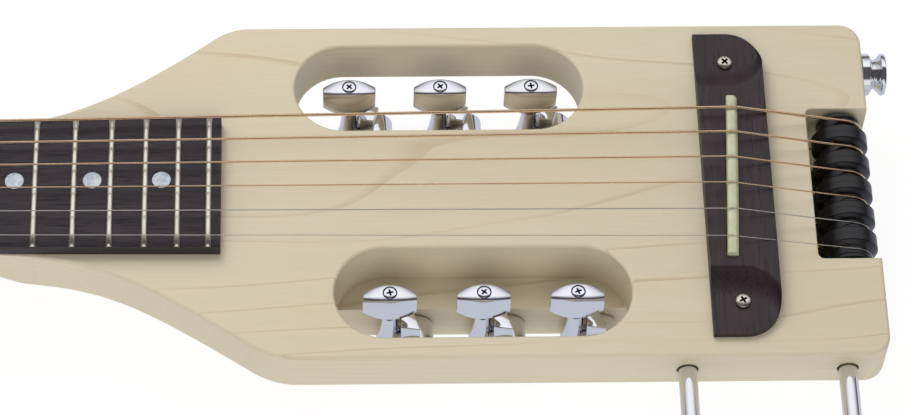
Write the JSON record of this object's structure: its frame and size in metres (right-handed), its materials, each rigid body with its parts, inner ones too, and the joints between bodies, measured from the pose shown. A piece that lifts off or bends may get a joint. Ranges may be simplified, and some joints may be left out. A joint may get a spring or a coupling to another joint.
{
  "type": "travel guitar",
  "caption": "Headless travel guitar: one-piece maple neck and body, slot-mounted geared tuners, tail pulleys that turn the strings back under the top, and a removable lap rest.",
  "frame": {"origin": "on the flat back of the spine, on the centre line, just ahead of the string channel, 157 mm from the scale's end at the saddle", "axes": "+X from the head to the tail, +Y to the bass side, +Z out of the front"},
  "size_m": [0.7206, 0.2194, 0.0524],
  "materials": {
    "maple": "satin lacquered pale maple with faint growth lines",
    "dark_wood": "oiled dark brown fingerboard wood",
    "bone": "polished pale ivory synthetic bone",
    "pickup_braid": "braided strip",
    "chrome": "polished chrome plate",
    "steel": "drawn plain steel",
    "bronze_wound": "round-wound bronze",
    "black_satin": "satin black anodised"
  },
  "bodies": {
    "guitar": {"neck_and_body": "maple", "fingerboard": "dark_wood", "nut": "bone", "bridge": "dark_wood", "saddle": "bone", "saddle_pickup": "pickup_braid", "bridge_screw_bass": "chrome", "bridge_screw_treble": "chrome", "pulley_axle": "steel", "tuner_housing_1": "chrome", "tuner_housing_2": "chrome", "tuner_housing_3": "chrome", "tuner_housing_4": "chrome", "tuner_housing_5": "chrome", "tuner_housing_6": "chrome", "tuner_nut_1": "chrome", "tuner_nut_2": "chrome", "tuner_nut_3": "chrome", "tuner_nut_4": "chrome", "tuner_nut_5": "chrome", "tuner_nut_6": "chrome", "string_1_high_e": "steel", "string_2_b": "steel", "string_3_g": "bronze_wound", "string_4_d": "bronze_wound", "string_5_a": "bronze_wound", "string_6_low_e": "bronze_wound", "end_pin_jack": "chrome", "string_comb": "black_satin", "comb_screw_bass": "chrome", "comb_screw_treble": "chrome", "truss_rod": "steel"},
    "tuner_key_1": {"tuner_worm_shaft_1": "chrome", "tuner_button_1": "chrome"},
    "tuner_key_2": {"tuner_worm_shaft_2": "chrome", "tuner_button_2": "chrome"},
    "tuner_key_3": {"tuner_worm_shaft_3": "chrome", "tuner_button_3": "chrome"},
    "tuner_key_4": {"tuner_worm_shaft_4": "chrome", "tuner_button_4": "chrome"},
    "tuner_key_5": {"tuner_worm_shaft_5": "chrome", "tuner_button_5": "chrome"},
    "tuner_key_6": {"tuner_worm_shaft_6": "chrome", "tuner_button_6": "chrome"},
    "string_post_1": {"tuner_post_1": "chrome"},
    "string_post_2": {"tuner_post_2": "chrome"},
    "string_post_3": {"tuner_post_3": "chrome"},
    "string_post_4": {"tuner_post_4": "chrome"},
    "string_post_5": {"tuner_post_5": "chrome"},
    "string_post_6": {"tuner_post_6": "chrome"},
    "tail_pulley_1": {"pulley_1": "black_satin"},
    "tail_pulley_2": {"pulley_2": "black_satin"},
    "tail_pulley_3": {"pulley_3": "black_satin"},
    "tail_pulley_4": {"pulley_4": "black_satin"},
    "tail_pulley_5": {"pulley_5": "black_satin"},
    "tail_pulley_6": {"pulley_6": "black_satin"},
    "removable_rest": {"lap_rest": "chrome"}
  },
  "joints": [
    {"name": "key_1", "type": "hinge", "parent": "guitar", "child": "tuner_key_1", "pos_m": [0.10535, -0.0412, 0.009], "axis": [0, 0, 1], "continuous": true},
    {"name": "key_2", "type": "hinge", "parent": "guitar", "child": "tuner_key_2", "pos_m": [0.0736, -0.0412, 0.009], "axis": [0, 0, 1], "continuous": true},
    {"name": "key_3", "type": "hinge", "parent": "guitar", "child": "tuner_key_3", "pos_m": [0.04185, -0.0412, 0.009], "axis": [0, 0, 1], "continuous": true},
    {"name": "key_4", "type": "hinge", "parent": "guitar", "child": "tuner_key_4", "pos_m": [0.02895, 0.0412, 0.009], "axis": [0, 0, 1], "continuous": true},
    {"name": "key_5", "type": "hinge", "parent": "guitar", "child": "tuner_key_5", "pos_m": [0.0607, 0.0412, 0.009], "axis": [0, 0, 1], "continuous": true},
    {"name": "key_6", "type": "hinge", "parent": "guitar", "child": "tuner_key_6", "pos_m": [0.09245, 0.0412, 0.009], "axis": [0, 0, 1], "continuous": true},
    {"name": "post_1", "type": "hinge", "parent": "guitar", "child": "string_post_1", "pos_m": [0.11335, -0.0412, 0.009], "axis": [0, -1, 0], "continuous": true},
    {"name": "post_2", "type": "hinge", "parent": "guitar", "child": "string_post_2", "pos_m": [0.0816, -0.0412, 0.009], "axis": [0, -1, 0], "continuous": true},
    {"name": "post_3", "type": "hinge", "parent": "guitar", "child": "string_post_3", "pos_m": [0.04985, -0.0412, 0.009], "axis": [0, -1, 0], "continuous": true},
    {"name": "post_4", "type": "hinge", "parent": "guitar", "child": "string_post_4", "pos_m": [0.03695, 0.0412, 0.009], "axis": [0, -1, 0], "continuous": true},
    {"name": "post_5", "type": "hinge", "parent": "guitar", "child": "string_post_5", "pos_m": [0.0687, 0.0412, 0.009], "axis": [0, -1, 0], "continuous": true},
    {"name": "post_6", "type": "hinge", "parent": "guitar", "child": "string_post_6", "pos_m": [0.10045, 0.0412, 0.009], "axis": [0, -1, 0], "continuous": true},
    {"name": "pulley_1_turn", "type": "hinge", "parent": "guitar", "child": "tail_pulley_1", "pos_m": [0.1995, -0.0255, 0.0335], "axis": [0, 1, 0], "continuous": true},
    {"name": "pulley_2_turn", "type": "hinge", "parent": "guitar", "child": "tail_pulley_2", "pos_m": [0.1995, -0.0153, 0.0335], "axis": [0, 1, 0], "continuous": true},
    {"name": "pulley_3_turn", "type": "hinge", "parent": "guitar", "child": "tail_pulley_3", "pos_m": [0.1995, -0.0051, 0.0335], "axis": [0, 1, 0], "continuous": true},
    {"name": "pulley_4_turn", "type": "hinge", "parent": "guitar", "child": "tail_pulley_4", "pos_m": [0.1995, 0.0051, 0.0335], "axis": [0, 1, 0], "continuous": true},
    {"name": "pulley_5_turn", "type": "hinge", "parent": "guitar", "child": "tail_pulley_5", "pos_m": [0.1995, 0.0153, 0.0335], "axis": [0, 1, 0], "continuous": true},
    {"name": "pulley_6_turn", "type": "hinge", "parent": "guitar", "child": "tail_pulley_6", "pos_m": [0.1995, 0.0255, 0.0335], "axis": [0, 1, 0], "continuous": true},
    {"name": "lap_rest_slide", "type": "slide", "parent": "guitar", "child": "removable_rest", "axis": [0, -1, 0], "range_m": [0, 0.025]}
  ],
  "couplings": [
    {"joint": "post_1", "follows": "key_1", "ratio": 0.071429},
    {"joint": "post_2", "follows": "key_2", "ratio": 0.071429},
    {"joint": "post_3", "follows": "key_3", "ratio": 0.071429},
    {"joint": "post_4", "follows": "key_4", "ratio": 0.071429},
    {"joint": "post_5", "follows": "key_5", "ratio": 0.071429},
    {"joint": "post_6", "follows": "key_6", "ratio": 0.071429},
    {"joint": "pulley_1_turn", "follows": "key_1", "ratio": 0.031336},
    {"joint": "pulley_2_turn", "follows": "key_2", "ratio": 0.031619},
    {"joint": "pulley_3_turn", "follows": "key_3", "ratio": 0.032123},
    {"joint": "pulley_4_turn", "follows": "key_4", "ratio": 0.032614},
    {"joint": "pulley_5_turn", "follows": "key_5", "ratio": 0.033234},
    {"joint": "pulley_6_turn", "follows": "key_6", "ratio": 0.03388}
  ]
}
